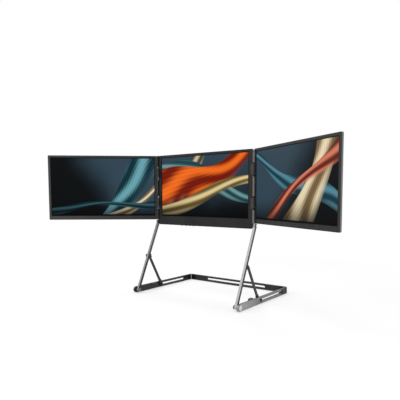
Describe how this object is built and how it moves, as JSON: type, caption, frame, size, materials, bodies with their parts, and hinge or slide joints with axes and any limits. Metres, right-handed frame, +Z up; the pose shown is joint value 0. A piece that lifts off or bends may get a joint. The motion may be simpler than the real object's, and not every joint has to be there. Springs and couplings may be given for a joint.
{
  "type": "portable monitor",
  "caption": "Portable three-screen monitor: a centre screen with a chin, a hinged wing screen on each side, and a folding slotted stand with struts and braces.",
  "frame": {"origin": "on the floor at the middle of the rear rail's rubber pad", "axes": "+X to the right as one faces the screens, +Y to the back, +Z up"},
  "size_m": [0.9815, 0.4288, 0.4536],
  "materials": {
    "black_metal": "satin, powder coated",
    "dark_casting": "satin",
    "rail_grey": "satin, fine grain",
    "strut_silver": "satin anodised",
    "cover_silver": "satin anodised",
    "pin_steel": "turned",
    "screw_steel": "machined",
    "bezel_black": "fine matte",
    "screen": "semi-gloss film",
    "tray_white": "matte",
    "board_green": "solder mask",
    "part_black": "matte",
    "pad_rubber": "matte",
    "washer": "matte"
  },
  "bodies": {
    "base": {"left_rail": "rail_grey", "right_rail": "rail_grey", "rear_rail": "rail_grey", "left_corner": "dark_casting", "right_corner": "dark_casting", "corner_screws": "screw_steel", "side_pads": "pad_rubber", "rear_pad": "pad_rubber", "strut_rests": "part_black", "front_pivot_pins": "pin_steel", "front_spacers": "washer"},
    "struts": {"left_strut": "strut_silver", "right_strut": "strut_silver", "brace_brackets": "black_metal", "brace_pivot_pins": "pin_steel", "bracket_knobs": "part_black"},
    "braces": {"left_brace": "black_metal", "right_brace": "black_metal", "brace_shoes": "part_black", "foot_pins": "pin_steel"},
    "centre_screen": {"centre_rear_cover": "cover_silver", "centre_front_bezel": "bezel_black", "centre_display_panel": "screen", "centre_backlight_tray": "tray_white", "tilt_brackets": "screw_steel", "tilt_pins": "pin_steel", "tilt_washers": "washer", "cover_screws": "screw_steel", "main_board": "board_green", "left_side_strips": "part_black", "usb_sockets": "pin_steel", "video_socket": "pin_steel", "speakers": "part_black", "button_board": "board_green", "button_switches": "part_black", "left_hinge_blocks": "dark_casting", "left_hinge_pins": "pin_steel", "right_hinge_blocks": "dark_casting", "right_hinge_pins": "pin_steel"},
    "left_wing": {"left_wing_rear_cover": "cover_silver", "left_wing_front_bezel": "bezel_black", "left_wing_display_panel": "screen", "left_wing_backlight_tray": "tray_white", "left_wing_driver_board": "board_green", "left_wing_hinge_leaves": "dark_casting"},
    "right_wing": {"right_wing_rear_cover": "cover_silver", "right_wing_front_bezel": "bezel_black", "right_wing_display_panel": "screen", "right_wing_backlight_tray": "tray_white", "right_wing_driver_board": "board_green", "right_wing_hinge_leaves": "dark_casting"},
    "power_button_cap": {"power_button": "part_black"},
    "menu_button_cap": {"menu_button": "part_black"},
    "down_button_cap": {"down_button": "part_black"},
    "up_button_cap": {"up_button": "part_black"}
  },
  "joints": [
    {"name": "stand_fold", "type": "hinge", "parent": "base", "child": "struts", "pos_m": [0, -0.28422, 0.0108], "axis": [-1, 0, 0], "range_deg": [0, 54]},
    {"name": "brace_hinge", "type": "hinge", "parent": "struts", "child": "braces", "pos_m": [0, -0.22791, 0.11495], "axis": [-1, 0, 0], "range_deg": [-108, 0]},
    {"name": "screen_tilt", "type": "hinge", "parent": "struts", "child": "centre_screen", "pos_m": [0, -0.18587, 0.2317], "axis": [1, 0, 0], "range_deg": [-30, 75]},
    {"name": "left_wing_hinge", "type": "hinge", "parent": "centre_screen", "child": "left_wing", "pos_m": [-0.1879, -0.19477, 0.34604], "axis": [0, 0, 1], "range_deg": [-40, 140]},
    {"name": "right_wing_hinge", "type": "hinge", "parent": "centre_screen", "child": "right_wing", "pos_m": [0.1879, -0.18837, 0.34604], "axis": [0, 0, -1], "range_deg": [-28.4, 151.6]},
    {"name": "power_button_press", "type": "slide", "parent": "centre_screen", "child": "power_button_cap", "axis": [0, 0, 1], "range_m": [0, 0.0006], "stiffness_N_per_m": 1200, "springref_m": -0.0006},
    {"name": "menu_button_press", "type": "slide", "parent": "centre_screen", "child": "menu_button_cap", "axis": [0, 0, 1], "range_m": [0, 0.0006], "stiffness_N_per_m": 1200, "springref_m": -0.0006},
    {"name": "down_button_press", "type": "slide", "parent": "centre_screen", "child": "down_button_cap", "axis": [0, 0, 1], "range_m": [0, 0.0006], "stiffness_N_per_m": 1200, "springref_m": -0.0006},
    {"name": "up_button_press", "type": "slide", "parent": "centre_screen", "child": "up_button_cap", "axis": [0, 0, 1], "range_m": [0, 0.0006], "stiffness_N_per_m": 1200, "springref_m": -0.0006}
  ],
  "couplings": [
    {"joint": "brace_hinge", "follows": "stand_fold", "ratio": -2}
  ]
}
